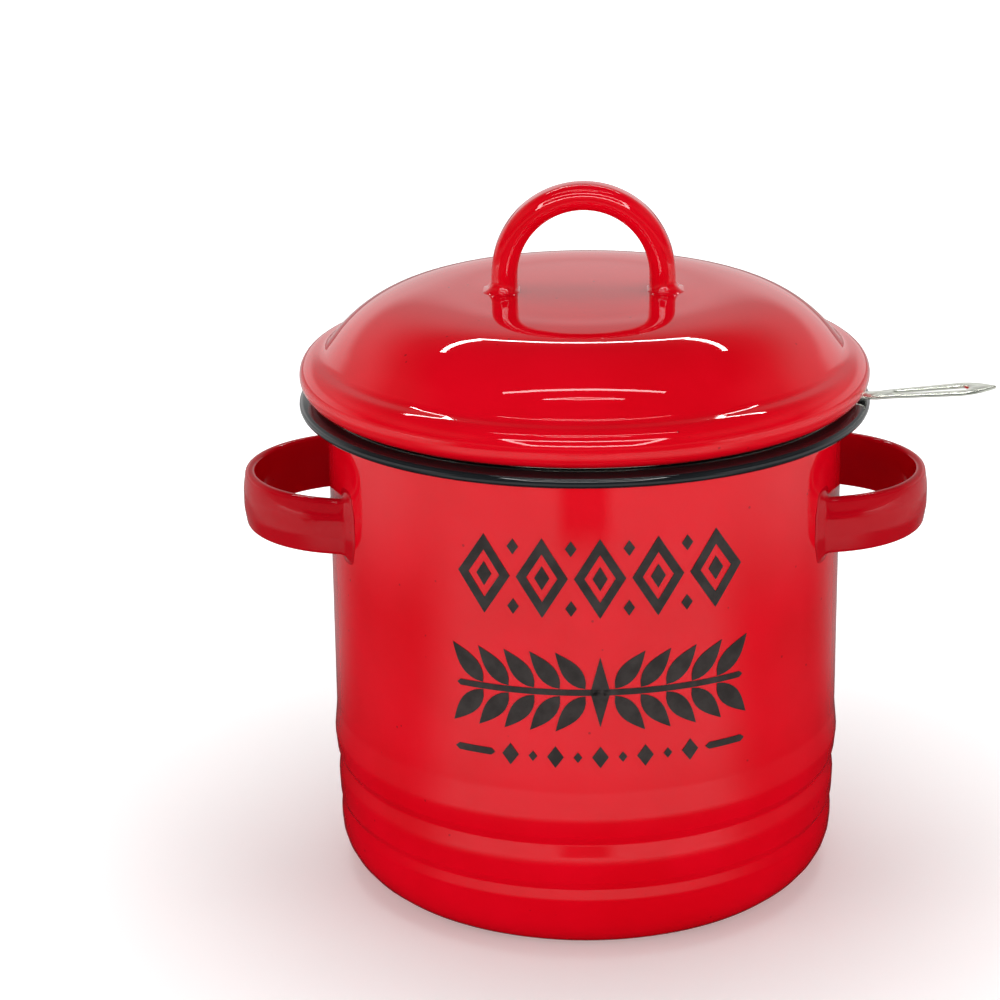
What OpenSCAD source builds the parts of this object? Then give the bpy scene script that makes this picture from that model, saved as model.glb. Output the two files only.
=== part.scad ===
// Enamelled steel grease pot with two ear handles, a lid and a lift-out strainer.
// The origin is on the pot's axis, on the table. Millimetres, Z up.

/* [Pot] */
// Outer diameter of the pot's wall
pot_d = 125; // [110:1:140]
// Height from the table to the top of the rim
pot_h = 123; // [105:1:140]
// Thickness of the enamelled wall and base
wall_t = 0.8; // [0.6:0.1:1.2]
// Radius of the corner where the wall turns into the base
base_corner_r = 13; // [9:0.5:15]
// How far the rim stands out from the wall
rim_out = 6.8; // [6:0.2:8]
// Height of the rolled rim
rim_h = 3.2; // [2.6:0.2:4]
// Rounding of the mouth, inside the rim
mouth_r = 1.5; // [1.1:0.1:1.5]

/* [Wall beads] */
// Height of the upper bead above the table
upper_bead_h = 30; // [28:0.5:34]
// Height of the lower bead above the table
lower_bead_h = 18.5; // [16:0.5:21]
// How far the wall steps in below the upper bead
upper_step = 0.6; // [0.3:0.1:1]
// How far the wall steps in below the lower bead
lower_step = 0.4; // [0.2:0.1:0.8]
// How far the wall swells out above each step
bead_swell = 0.45; // [0.2:0.05:0.6]
// Height over which a bead swells and steps in
bead_w = 3.2; // [2:0.2:4]

/* [Ear handles] */
// How far an ear reaches out from the wall
ear_reach = 21.5; // [18:0.5:24]
// Outer radius of an ear's loop, seen from above
ear_r = 28.5; // [25:0.5:31]
// Height of the ear's strap
ear_h = 14; // [12:0.2:18]
// Thickness of the ear's strap
ear_t = 3; // [2:0.2:3.6]
// Drop from the top of the rim to the top of the strap
ear_drop = 19.4; // [14:0.2:24]
// How far a foot of the ear spreads along the wall
ear_foot_w = 4; // [2:0.5:6]
// Thickness of the foot on the wall
ear_foot_t = 1.2; // [0.8:0.1:1.8]

/* [Strainer] */
// Clearance of the strainer in the pot, and of the lid's skirt in the strainer
nest_gap = 0.4; // [0.3:0.1:0.6]
// Depth from the top of the flange to the underside of the bowl
strainer_depth = 21.5; // [18:0.1:24]
// Thickness of the pressed bowl
strainer_t = 0.6; // [0.4:0.1:0.8]
// Width of the flange, outside the bowl's wall
flange_w = 3.3; // [3:0.1:4]
// Thickness of the flange and of the strainer's handle
flange_t = 0.8; // [0.6:0.1:1]
// Outer radius of the bowl's lower corner
bowl_corner_r = 7.5; // [5:0.5:8]
// Width of the ring that carries the screen
ledge_w = 3.5; // [3:0.5:6]
// How far the strainer is turned about its axis, in degrees
strainer_turn = -8; // [-15:1:0]

/* [Screen] */
// Thickness of the screen
screen_t = 0.5; // [0.3:0.1:0.8]
// How far the screen laps over its ring
screen_lap = 2.5; // [1.5:0.5:3]
// Side of one slotted panel
panel_w = 19.4; // [17:0.1:20]
// Width of the plain bar between two panels
panel_bar = 2.3; // [1.5:0.1:4]
// Width of one drain slot
slot_w = 1; // [0.6:0.1:1.2]
// Distance from slot to slot
slot_pitch = 2.2; // [2:0.1:3]
// Lean of the slots from the panels' sides, in degrees
slot_lean = 7; // [0:1:30]

/* [Strainer handle] */
// Length of the blade, from its bend to its tip
blade_l = 31; // [28:1:42]
// Width of the blade where it leaves the bowl
blade_root_w = 4.6; // [4:0.2:6]
// Greatest width of the blade
blade_w = 9; // [8:0.2:11]
// Length of the pointed end
blade_tip_l = 10; // [8:1:12]
// Rise of the blade, in degrees
blade_rise = 6; // [4:1:12]
// Length of the hanging slot
hang_slot_l = 16; // [13:1:17]
// Width of the hanging slot at its outer end
hang_slot_w = 3.6; // [3:0.2:3.8]

/* [Lid] */
// Height of the dome's flat top above the lid's seat
dome_h = 23.9; // [20:0.1:27]
// Radius of the dome's flat top
dome_flat_r = 27.6; // [26:0.2:29]
// Power of the curve from the flat top down to the bead
dome_power = 3.3; // [2.6:0.1:4]
// Thickness of the lid's enamelled sheet
lid_t = 1.2; // [0.8:0.1:1.4]
// Radius of the bead's rounded section
bead_r = 4.7; // [4.2:0.1:5.2]
// How far the bead stays inside the pot's rim
bead_inset = 0.3; // [0:0.1:0.6]
// Depth of the skirt below the lid's seat
skirt_depth = 12; // [11:0.5:14]
// Height of the collar at the top of the skirt, below the seat
collar_h = 0.6; // [0.4:0.2:1.4]
// How far the skirt's neck stands in from its collar and its hem
neck_step = 1.6; // [1:0.1:2]
// Radius of the rolled hem at the foot of the skirt
hem_r = 3.5; // [3:0.1:3.8]

/* [Lid handle] */
// Height of the handle above the dome
handle_h = 26.1; // [22:0.1:30]
// Clear width of the handle between its legs
handle_gap = 31.6; // [28:0.2:34]
// Thickness of the handle, seen from the front
handle_t = 6.3; // [5:0.1:6.6]
// Breadth of the handle, from front to back
handle_w = 10.4; // [8:0.2:12]
// How far a foot of the handle spreads on the dome
handle_foot = 2.4; // [1:0.2:2.6]

/* [Hidden] */
$fn = 96;

// Finishes
red_enamel = "#B5121B";
black_enamel = "#16181C";
steel = "#C9CCCE";

// Pot
pot_r = pot_d / 2;
pot_in_r = pot_r - wall_t;
rim_r = pot_r + rim_out;

// Ears
ear_x = pot_r + ear_reach - ear_r;
ear_top = pot_h - ear_drop;
ear_base = ear_top - ear_h;
ear_mid_r = ear_r - ear_t / 2;

// Strainer, with its flange on the rim
bowl_r = pot_in_r - nest_gap;
bowl_in_r = bowl_r - strainer_t;
flange_r = bowl_r + flange_w;
flange_top = pot_h + flange_t;
bowl_base = flange_top - strainer_depth;
ledge_r = bowl_r - bowl_corner_r - ledge_w;
screen_r = ledge_r + screen_lap;
screen_base = bowl_base + strainer_t;

// Strainer handle: a level root as far as the bend, then the rising blade
bend_r = rim_r - 1.1;
blade_wide_x = blade_l - blade_tip_l;
hang_slot_x = blade_wide_x + 2;
tip_steps = 6;

// Lid, with its bead on the strainer's flange
seat_z = flange_top;
bead_flat = 0.25;
bead_x = rim_r - bead_inset - bead_r;
bead_z = bead_r - bead_flat;
dome_lap = 0.9;
dome_r = bead_x - dome_lap;
dome_edge_h = bead_z + sqrt(bead_r * bead_r - dome_lap * dome_lap);
dome_steps = 14;
skirt_r = bowl_in_r - nest_gap;
neck_r = skirt_r - neck_step;
skirt_t = 1;
hem_join = hem_r - 0.9 * skirt_t;
skirt_top = lid_t + 1.5;

// Lid handle
arch_r = (handle_gap + handle_t) / 2;
arch_z = handle_h - arch_r - handle_t / 2;
handle_z = seat_z + dome_h;

// Outline of the pot from its axis to the rim, moved inwards by an inset
function wall_r(step_in, inset) = pot_r - step_in - inset;
function bead_points(h, above, below, inset) = [
    [wall_r(below, inset), h - bead_w * 0.35],
    [wall_r(below, inset), h - bead_w * 0.15],
    [wall_r(above, inset) + bead_swell * 0.6, h + bead_w * 0.1],
    [wall_r(above, inset) + bead_swell, h + bead_w * 0.35],
    [wall_r(above, inset) + bead_swell * 0.5, h + bead_w * 0.75],
    [wall_r(above, inset), h + bead_w * 1.2]
];
function corner_points(inset) = [
    for (a = [0:9:90])
        [wall_r(upper_step + lower_step, 0) - base_corner_r + (base_corner_r - inset) * sin(a),
            base_corner_r - (base_corner_r - inset) * cos(a)]
];
function pot_points(inset, top) = concat(
    [[0, inset]],
    corner_points(inset),
    bead_points(lower_bead_h, upper_step, upper_step + lower_step, inset),
    bead_points(upper_bead_h, 0, upper_step, inset),
    [[wall_r(0, inset), top], [0, top]]
);

// The dome's height over its seat at a radius, its slope there, and its skin
function dome_share(r) = max(0, (r - dome_flat_r) / (dome_r - dome_flat_r));
function dome_height(r) = dome_h - (dome_h - dome_edge_h) * pow(dome_share(r), dome_power);
function dome_slope(r) = atan(
    (dome_h - dome_edge_h) * dome_power * pow(dome_share(r), dome_power - 1)
    / (dome_r - dome_flat_r)
);
function dome_radius(i) = dome_flat_r + (dome_r - dome_flat_r) * i / dome_steps;
function dome_skin(depth) = [
    for (i = [0:dome_steps])
        let (r = dome_radius(i), s = dome_slope(r))
            [r - depth * sin(s), dome_height(r) - depth * cos(s)]
];
function reversed(points) = [for (i = [len(points) - 1:-1:0]) points[i]];

// A bar with two round ends, standing on end, centred at the origin
module round_bar(length, thick) {
    straight = length - thick;
    square([thick, straight], center = true);
    for (side = [-1, 1])
        translate([0, side * straight / 2])
            circle(d = thick);
}

module rim_profile() {
    edge_r = rim_h / 2;
    translate([pot_in_r + mouth_r, pot_h - rim_h])
        square([rim_r - edge_r - pot_in_r - mouth_r, rim_h]);
    translate([pot_in_r, pot_h - rim_h])
        square([mouth_r, rim_h - mouth_r]);
    translate([pot_in_r + mouth_r, pot_h - mouth_r])
        circle(r = mouth_r);
    translate([rim_r - edge_r, pot_h - edge_r])
        circle(r = edge_r);
}

module pot_shell() {
    color(red_enamel)
        rotate_extrude()
            difference() {
                polygon(pot_points(0, pot_h - mouth_r));
                polygon(pot_points(wall_t, pot_h));
            }
    color(black_enamel)
        rotate_extrude()
            rim_profile();
}

// One foot of an ear: a tab that lies on the wall and runs down to a point
module ear_foot(side) {
    inner_y = ear_r - 2 * ear_t;
    outer_y = ear_r + ear_foot_w;
    point_z = ear_base - 3.5;
    intersection() {
        cylinder(r = pot_r + ear_foot_t, h = pot_h);
        rotate([90, 0, 90])
            linear_extrude(pot_r + ear_reach)
                polygon([
                    [side * inner_y, ear_base + 1],
                    [side * inner_y, ear_top - 1],
                    [side * (inner_y + 1), ear_top],
                    [side * ear_r, ear_top],
                    [side * (ear_r + ear_foot_w * 0.7), ear_top - 1],
                    [side * outer_y, ear_top - 3],
                    [side * outer_y, point_z],
                    [side * (ear_r + ear_foot_w * 0.5), ear_base - 1.2],
                    [side * ear_r, ear_base],
                    [side * (inner_y + 1), ear_base]
                ]);
    }
}

// The ear on the +X side: a strap bent round to a loop, cut off by the wall
module ear() {
    color(red_enamel)
        difference() {
            union() {
                translate([ear_x, 0, ear_base + ear_h / 2])
                    rotate_extrude()
                        translate([ear_mid_r, 0])
                            round_bar(ear_h, ear_t);
                for (side = [-1, 1])
                    ear_foot(side);
            }
            cylinder(r = pot_r, h = pot_h);
        }
}

module right_ear() {
    ear();
}

module left_ear() {
    mirror([1, 0, 0])
        ear();
}

module bowl_profile() {
    corner_x = bowl_r - bowl_corner_r;
    corner_z = bowl_base + bowl_corner_r;
    // Flange
    translate([bowl_in_r, flange_top - flange_t])
        square([flange_r - bowl_in_r, flange_t]);
    // Wall
    translate([bowl_in_r, corner_z])
        square([strainer_t, flange_top - corner_z]);
    // Lower corner
    intersection() {
        translate([corner_x, corner_z])
            difference() {
                circle(r = bowl_corner_r);
                circle(r = bowl_corner_r - strainer_t);
            }
        translate([corner_x, bowl_base])
            square(bowl_corner_r);
    }
    // Ring that carries the screen
    translate([ledge_r, bowl_base])
        square([ledge_w, strainer_t]);
}

module strainer_bowl() {
    color(steel)
        rotate_extrude()
            bowl_profile();
}

// Square panels on a grid, with a bar across the middle, kept inside the ring
module panels() {
    step = panel_w + panel_bar;
    reach = ceil(ledge_r / step) * step;
    intersection() {
        circle(r = ledge_r - 1);
        for (x = [step / 2 - reach:step:reach], y = [-reach:step:reach])
            translate([x, y])
                square(panel_w, center = true);
    }
}

module slots() {
    reach = ceil(ledge_r * 1.3 / slot_pitch) * slot_pitch;
    rotate(-slot_lean)
        for (x = [-reach:slot_pitch:reach])
            translate([x, 0])
                square([slot_w, 2 * reach], center = true);
}

module strainer_screen() {
    color(steel)
        rotate(strainer_turn)
            translate([0, 0, screen_base])
                difference() {
                    cylinder(r = screen_r, h = screen_t);
                    translate([0, 0, -1])
                        linear_extrude(screen_t + 2)
                            intersection() {
                                panels();
                                slots();
                            }
                }
}

// Half width of the pointed end, at a share of its length
function tip_half(share) = blade_w / 2 * (1 - pow(share, 1.8));

module blade_outline() {
    upper_edge = concat(
        [[0, blade_root_w / 2]],
        [for (i = [0:tip_steps])
            [blade_wide_x + blade_tip_l * i / tip_steps, tip_half(i / tip_steps)]]
    );
    lower_edge = [for (p = upper_edge) if (p[1] > 0) [p[0], -p[1]]];
    inner_r = hang_slot_w / 2 * 0.8;
    outer_r = hang_slot_w / 2;
    outer_x = hang_slot_x - outer_r;
    inner_x = hang_slot_x - hang_slot_l + inner_r;
    difference() {
        polygon(concat(upper_edge, reversed(lower_edge)));
        translate([inner_x, 0])
            circle(r = inner_r);
        translate([outer_x, 0])
            circle(r = outer_r);
        polygon([[inner_x, inner_r], [outer_x, outer_r], [outer_x, -outer_r], [inner_x, -inner_r]]);
    }
}

module strainer_handle() {
    color(steel)
        rotate(strainer_turn)
            difference() {
                union() {
                    translate([flange_r - 1, -blade_root_w / 2, flange_top - flange_t])
                        cube([bend_r - flange_r + 1, blade_root_w, flange_t]);
                    translate([bend_r, 0, flange_top - flange_t])
                        rotate([0, -blade_rise, 0])
                            linear_extrude(flange_t)
                                blade_outline();
                }
                cylinder(r = flange_r, h = flange_top + 1);
            }
}

module dome_profile() {
    polygon(concat(
        [[0, dome_h]],
        dome_skin(0),
        [[bead_x - dome_lap / 2, bead_z + bead_r - lid_t / 2]],
        reversed(dome_skin(lid_t)),
        [[0, dome_h - lid_t]]
    ));
}

// The rolled bead: open towards the inside, with a flat floor that meets the skirt
module lid_bead_profile() {
    join_x = dome_r - lid_t;
    difference() {
        translate([bead_x, bead_z])
            circle(r = bead_r);
        translate([bead_x, bead_z])
            circle(r = bead_r - lid_t);
        square([join_x, 2 * bead_r]);
        translate([0, -bead_r])
            square([rim_r, bead_r]);
    }
    translate([skirt_r, 0])
        square([bead_x - skirt_r, lid_t]);
}

module lid_shell() {
    color(red_enamel)
        translate([0, 0, seat_z]) {
            rotate_extrude()
                dome_profile();
            rotate_extrude()
                lid_bead_profile();
        }
}

// The hem at the foot of the skirt, rolled inwards and left open under the neck
module hem_curl() {
    difference() {
        circle(r = hem_r);
        circle(r = hem_r - skirt_t);
        polygon([[0, 0], [-hem_r, 2.5 * hem_r], [-2 * hem_r, 1.2 * hem_r]]);
    }
}

module lid_skirt() {
    inner_r = neck_r - skirt_t;
    hem_z = hem_r - skirt_depth;
    color(red_enamel)
        translate([0, 0, seat_z])
            rotate_extrude() {
                polygon([
                    [inner_r, hem_z + hem_join],
                    [neck_r, hem_z + hem_join],
                    [neck_r, -collar_h - neck_step],
                    [skirt_r, -collar_h],
                    [skirt_r, skirt_top],
                    [inner_r, skirt_top]
                ]);
                translate([skirt_r - hem_r, hem_z])
                    hem_curl();
            }
}

// One foot of the lid's handle: the bar spreads as it comes down on the dome
module lid_handle_foot() {
    top_r = handle_t / 2;
    foot_r = top_r + handle_foot;
    half_w = (handle_w - handle_t) / 2;
    for (side = [-1, 1])
        translate([0, side * half_w, 0])
            cylinder(h = arch_z, r1 = foot_r, r2 = top_r);
    rotate([90, 0, 0])
        translate([0, 0, -half_w])
            linear_extrude(2 * half_w)
                polygon([[-foot_r, 0], [foot_r, 0], [top_r, arch_z], [-top_r, arch_z]]);
}

module lid_handle() {
    color(red_enamel)
        translate([0, 0, handle_z]) {
            translate([0, 0, arch_z])
                rotate([90, 0, 0])
                    rotate_extrude(angle = 180)
                        translate([arch_r, 0])
                            round_bar(handle_w, handle_t);
            for (side = [-1, 1])
                translate([side * arch_r, 0, 0])
                    lid_handle_foot();
        }
}

pot_shell();
left_ear();
right_ear();
strainer_bowl();
strainer_screen();
strainer_handle();
lid_shell();
lid_skirt();
lid_handle();
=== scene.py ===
"""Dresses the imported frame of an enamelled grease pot: shapes, finishes, studio and camera."""

import math
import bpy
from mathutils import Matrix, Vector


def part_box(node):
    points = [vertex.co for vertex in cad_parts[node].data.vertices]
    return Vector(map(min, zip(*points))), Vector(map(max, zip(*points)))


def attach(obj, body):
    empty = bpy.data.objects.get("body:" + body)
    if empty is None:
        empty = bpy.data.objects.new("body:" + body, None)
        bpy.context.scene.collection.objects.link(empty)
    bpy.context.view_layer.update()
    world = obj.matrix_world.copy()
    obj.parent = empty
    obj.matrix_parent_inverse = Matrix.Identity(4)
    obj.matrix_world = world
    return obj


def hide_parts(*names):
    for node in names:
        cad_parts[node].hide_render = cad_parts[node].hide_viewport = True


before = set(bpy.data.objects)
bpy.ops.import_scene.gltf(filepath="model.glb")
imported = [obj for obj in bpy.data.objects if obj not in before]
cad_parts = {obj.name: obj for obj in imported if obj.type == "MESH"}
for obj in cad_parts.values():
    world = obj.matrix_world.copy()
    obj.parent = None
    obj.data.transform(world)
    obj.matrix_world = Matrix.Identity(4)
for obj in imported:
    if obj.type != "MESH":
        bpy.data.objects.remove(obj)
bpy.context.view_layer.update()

import bmesh
import bpy
from bpy.props import FloatProperty, FloatVectorProperty, PointerProperty
from mathutils import Matrix, Vector

bl_info = {
    "name": "Enamelled Grease Pot",
    "version": (1, 0, 0),
    "blender": (4, 5, 0),
    "location": "View3D > Sidebar > Pot",
    "description": "Builds an enamelled pot with a strainer, a lid and a plain studio",
    "category": "Object",
}

MM = 0.001
MERGE = 0.002 * MM      # points that are nearer than this are one
INSET = 0.05 * MM       # how far a shape stays inside the frame's box
TURN_STEPS = 160        # steps once round the pot's axis
ARC_SHARE = 0.96        # how much of a line the arcs at its ends may take up
ORIGIN = (0, 0, 0)
X_AXIS = (1, 0, 0)
Y_AXIS = (0, 1, 0)
Z_AXIS = (0, 0, 1)


# -------- sizes and colours

def size(label, about, value):
    return FloatProperty(name=label, description=about, default=value, min=0.0001, max=1.0,
                         precision=5, subtype="DISTANCE", unit="LENGTH")


def angle(label, about, degrees):
    return FloatProperty(name=label, description=about, default=math.radians(degrees),
                         subtype="ANGLE", unit="ROTATION")


def colour(label, about, value):
    return FloatVectorProperty(name=label, description="Colour of " + about, default=value, size=3,
                               min=0.0, max=1.0, subtype="COLOR")


POT_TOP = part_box("pot_shell")[1].z
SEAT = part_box("lid_shell")[0].z
EAR_AXIS, EAR_TIP = 55.5 * MM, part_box("right_ear")[1].x
BOWL_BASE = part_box("strainer_bowl")[0].z
SCREEN_LOW, SCREEN_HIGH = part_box("strainer_screen")
SKIRT_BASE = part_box("lid_skirt")[0].z
HANDLE_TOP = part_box("lid_handle")[1].z


class PotSizes(bpy.types.PropertyGroup):
    height: size("Height", "Height of the pot's rim above the table", POT_TOP)
    wall_r: size("Wall radius", "Outer radius of the wall", 62.5 * MM)
    wall_t: size("Wall thickness", "Thickness of the enamelled wall", 0.8 * MM)
    rim_r: size("Rim radius", "Outer radius of the rolled rim", 69.2 * MM)
    rim_h: size("Rim height", "Height of the rolled rim", 3.3 * MM)
    corner_r: size("Base corner", "Radius where the wall turns into the base", 13 * MM)
    upper_bead: size("Upper bead", "Height of the upper crease", 30 * MM)
    lower_bead: size("Lower bead", "Height of the lower crease", 18.5 * MM)
    ear_x: size("Ear axis", "Distance from the pot's axis to the ear's axis", EAR_AXIS)
    ear_r: size("Ear radius", "Outer radius of an ear's loop", EAR_TIP - EAR_AXIS - INSET)
    ear_t: size("Ear thickness", "Thickness of an ear's strap", 3.0 * MM)
    ear_h: size("Ear height", "Height of an ear's strap", 13.9 * MM)
    ear_z: size("Ear middle", "Height of the middle of an ear's strap", 96.6 * MM)
    fillet: size("Enamel fillet", "Radius of the enamel where a handle meets the wall", 2.4 * MM)


class StrainerSizes(bpy.types.PropertyGroup):
    bowl_r: size("Bowl radius", "Outer radius of the bowl's wall", 61.3 * MM)
    bowl_t: size("Bowl thickness", "Thickness of the pressed bowl", 0.6 * MM)
    flange_r: size("Flange radius", "Outer radius of the flange", 64.55 * MM)
    flange_t: size("Flange thickness", "Thickness of the flange and the blade", 0.8 * MM)
    corner_r: size("Bowl corner", "Radius of the bowl's lower corner", 7.5 * MM)
    ledge_r: size("Ledge radius", "Inner radius of the ring under the screen", 50.3 * MM)
    turn: angle("Turn", "How far the strainer is turned in the pot", -8)
    panel: size("Panel", "Side of one slotted panel", 19.4 * MM)
    bar: size("Bar", "Width of the plain bar between two panels", 2.3 * MM)
    slot: size("Slot", "Width of one drain slot", 0.48 * MM)
    pitch: size("Slot pitch", "Distance from slot to slot", 1.1 * MM)
    lean: angle("Lean", "Lean of the slots from the panels' sides", 7)
    bend_r: size("Bend", "Distance from the pot's axis to the blade's bend", 68.2 * MM)
    blade_l: size("Blade length", "Length of the blade past its bend", 30.9 * MM)
    blade_root: size("Blade root", "Width of the blade at its root", 4.6 * MM)
    blade_w: size("Blade width", "Greatest width of the blade", 9 * MM)
    rise: angle("Rise", "Rise of the blade", 6)


class LidSizes(bpy.types.PropertyGroup):
    dome_h: size("Dome height", "Height of the dome above the lid's seat", 23.9 * MM)
    flat_r: size("Flat radius", "Radius of the dome's flat top", 28.2 * MM)
    dome_r: size("Dome radius", "Radius where the dome meets the bead", 63.1 * MM)
    bead_r: size("Bead radius", "Radius of the bead's section", 4.7 * MM)
    bead_x: size("Bead place", "Distance from the axis to the middle of the bead", 64.3 * MM)
    sheet: size("Sheet", "Thickness of the lid's sheet", 1.2 * MM)
    skirt_r: size("Skirt radius", "Outer radius of the skirt's collar and hem", 60.3 * MM)
    neck_in: size("Neck", "How far the skirt stands in between its collar and its hem", 1.6 * MM)
    skirt_t: size("Skirt thickness", "Thickness of the skirt", 1 * MM)
    hem_r: size("Hem radius", "Radius of the rolled hem", 3.5 * MM)
    arch_r: size("Arch radius", "Radius of the handle's arch, at its middle", 18.95 * MM)
    arch_t: size("Arch thickness", "Thickness of the handle, seen from the front", 6.3 * MM)
    arch_w: size("Arch breadth", "Breadth of the handle, from front to back", 9.4 * MM)


class PrintSizes(bpy.types.PropertyGroup):
    shift: size("Shift", "How far the print sits to the right of the middle", 3.5 * MM)
    thickness: size("Thickness", "How far the print stands off the wall", 0.16 * MM)
    upper_z: size("Upper row", "Height of the middle of the upper row", 96.3 * MM)
    middle_z: size("Middle row", "Height of the middle of the middle row", 68.6 * MM)
    lower_z: size("Lower row", "Height of the middle of the lower row", 52.4 * MM)


class Finishes(bpy.types.PropertyGroup):
    red: colour("Red enamel", "the red enamel", (0.70, 0.001, 0.010))
    red_deep: colour("Deep red", "the red enamel where it lies thick", (0.60, 0.0005, 0.005))
    # Painted shade: a darker copy of the red enamel, for the ears and the skirt, which lie in shade
    shaded: colour("Shaded red", "the enamel on the ears and the skirt", (0.44, 0.001, 0.007))
    black: colour("Black enamel", "the enamel on the rim and inside", (0.010, 0.012, 0.014))
    steel: colour("Steel", "the polished steel", (0.80, 0.82, 0.73))
    # Partly painted sheen: a near-white tone that the screen shows mostly matte, so it reads bright
    # where steel would show only its reflections
    satin: colour("Satin steel", "the screen's satin steel", (0.95, 0.95, 0.92))
    ink: colour("Print", "the print", (0.022, 0.018, 0.017))
    floor: colour("Floor", "the floor", (0.90, 0.90, 0.90))


# -------- modelling helpers

def leave_edit_mode():
    if bpy.context.mode != "OBJECT":
        bpy.ops.object.mode_set(mode="OBJECT")


def clear_selection():
    leave_edit_mode()
    bpy.ops.object.select_all(action="DESELECT")


def take(*pieces):
    """Make these the selected pieces, with the first one active."""
    clear_selection()
    for piece in pieces:
        piece.select_set(True)
    bpy.context.view_layer.objects.active = pieces[0]


def name_active(name):
    """Name the active piece and its mesh."""
    piece = bpy.context.object
    piece.name = piece.data.name = name
    return piece


def select_mesh():
    """In edit mode, select the whole mesh."""
    bpy.ops.mesh.select_all(action="SELECT")


def open_edit(piece, kind="VERT"):
    """Edit a piece, with its whole mesh selected."""
    take(piece)
    bpy.ops.object.mode_set(mode="EDIT")
    bpy.ops.mesh.select_mode(type=kind)
    select_mesh()


def face_outwards():
    select_mesh()
    bpy.ops.mesh.normals_make_consistent(inside=False)


def cut_mesh(point, normal):
    """In edit mode, cut the whole mesh along a plane."""
    select_mesh()
    bpy.ops.mesh.bisect(plane_co=point, plane_no=normal)


def extrude(shift):
    bpy.ops.mesh.extrude_region_move(TRANSFORM_OT_translate={"value": shift})


def choose(piece, kind, test):
    """In edit mode, select what passes a test on its middle and its normal."""
    bpy.ops.mesh.select_mode(type=kind)
    bpy.ops.mesh.select_all(action="DESELECT")
    mesh = bmesh.from_edit_mesh(piece.data)
    if kind == "VERT":
        for vert in mesh.verts:
            vert.select_set(test(vert.co, vert.normal))
    elif kind == "EDGE":
        for edge in mesh.edges:
            middle = (edge.verts[0].co + edge.verts[1].co) / 2
            edge.select_set(test(middle, edge.verts[0].normal) and edge.is_boundary)
    else:
        for face in mesh.faces:
            face.select_set(test(face.calc_center_median(), face.normal))
    mesh.select_flush_mode()
    bmesh.update_edit_mesh(piece.data)


def rounded(corners, steps):
    """An outline through corners (x, z, radius), each turned with an arc."""
    points = [Vector(corner[:2]) for corner in corners]
    wanted = [0.0] * len(corners)
    for index in range(1, len(corners) - 1):
        turn = (points[index - 1] - points[index]).angle(points[index + 1] - points[index])
        wanted[index] = corners[index][2] / math.tan(turn / 2)
    outline = []
    for index, here in enumerate(points):
        if wanted[index] == 0:
            outline.append(tuple(here))
            continue
        back, on = points[index - 1] - here, points[index + 1] - here
        half = back.angle(on) / 2
        # Two arcs share the line between them by what each one wants
        back_room = back.length * ARC_SHARE * wanted[index] / (wanted[index] + wanted[index - 1])
        on_room = on.length * ARC_SHARE * wanted[index] / (wanted[index] + wanted[index + 1])
        reach = min(wanted[index], back_room, on_room)
        radius = reach * math.tan(half)
        middle = here + (back.normalized() + on.normalized()).normalized() * radius / math.sin(half)
        first = here + back.normalized() * reach - middle
        last = here + on.normalized() * reach - middle
        sweep = first.angle(last)
        for step in range(steps + 1):
            share = step / steps
            spoke = first * math.sin((1 - share) * sweep) + last * math.sin(share * sweep)
            outline.append(tuple(middle + spoke / math.sin(sweep)))
    return outline


def arc(x, z, radius, start, end, steps):
    """Points on an arc, with its angles in degrees."""
    turns = [math.radians(start + (end - start) * step / steps) for step in range(steps + 1)]
    return [(x + radius * math.cos(turn), z + radius * math.sin(turn)) for turn in turns]


def draw(name, outline, y=0.0, closed=False):
    """Draw an outline in the XZ plane, point by point, and leave it open and selected."""
    clear_selection()
    bpy.ops.mesh.primitive_plane_add(size=MM, location=(outline[0][0], y, outline[0][1]))
    piece = name_active(name)
    bpy.ops.object.transform_apply(location=True, rotation=False, scale=False)
    bpy.ops.object.mode_set(mode="EDIT")
    bpy.ops.mesh.select_mode(type="VERT")
    select_mesh()
    bpy.ops.mesh.merge(type="CENTER")
    path = outline + outline[:1] if closed else outline
    for (x, z), (next_x, next_z) in zip(path, path[1:]):
        extrude((next_x - x, 0, next_z - z))
    select_mesh()
    bpy.ops.mesh.remove_doubles(threshold=MERGE)
    return piece


def close_up(piece, smooth=40):
    """Merge doubles, point the faces outwards and shade the piece by angle."""
    bpy.ops.mesh.select_mode(type="VERT")
    select_mesh()
    bpy.ops.mesh.remove_doubles(threshold=MERGE)
    face_outwards()
    take(piece)
    bpy.ops.object.shade_smooth_by_angle(angle=math.radians(smooth))


def lathe(name, outline, closed=False, smooth=40):
    """Spin an outline once round the Z axis."""
    piece = draw(name, outline, closed=closed)
    bpy.ops.mesh.spin(steps=TURN_STEPS, angle=math.tau, center=ORIGIN, axis=Z_AXIS)
    close_up(piece, smooth)
    return piece


def modify(piece, kind, **settings):
    """Add a modifier to a piece and apply it."""
    take(piece)
    modifier = piece.modifiers.new(kind.title(), kind)
    for setting, value in settings.items():
        setattr(modifier, setting, value)
    bpy.ops.object.modifier_apply(modifier=modifier.name)


def turn_selection(degrees, centre, axis="Z"):
    """Turn the selection anticlockwise, seen from the axis's point."""
    bpy.ops.transform.rotate(value=math.radians(-degrees), orient_axis=axis,
                             center_override=centre)


def grow_ring(shift, centre, factors, turn=0.0):
    """Extrude the selected ring, and turn and scale the new one about its middle."""
    extrude(shift)
    if turn:
        turn_selection(turn, centre)
    bpy.ops.transform.resize(value=factors, center_override=centre)


def flare(radius, distance):
    """How far a fillet spreads sideways at a distance above what it runs into."""
    left = max(0.0, min(radius, radius - distance))
    return radius - math.sqrt(radius * radius - left * left)


def finish(piece, body, node, slot, *materials):
    """Seat a finished piece on its body, in place of its CAD node."""
    leave_edit_mode()
    for material in materials:
        piece.data.materials.append(material)
    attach(piece, body)
    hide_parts(node)


# -------- material helpers

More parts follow.
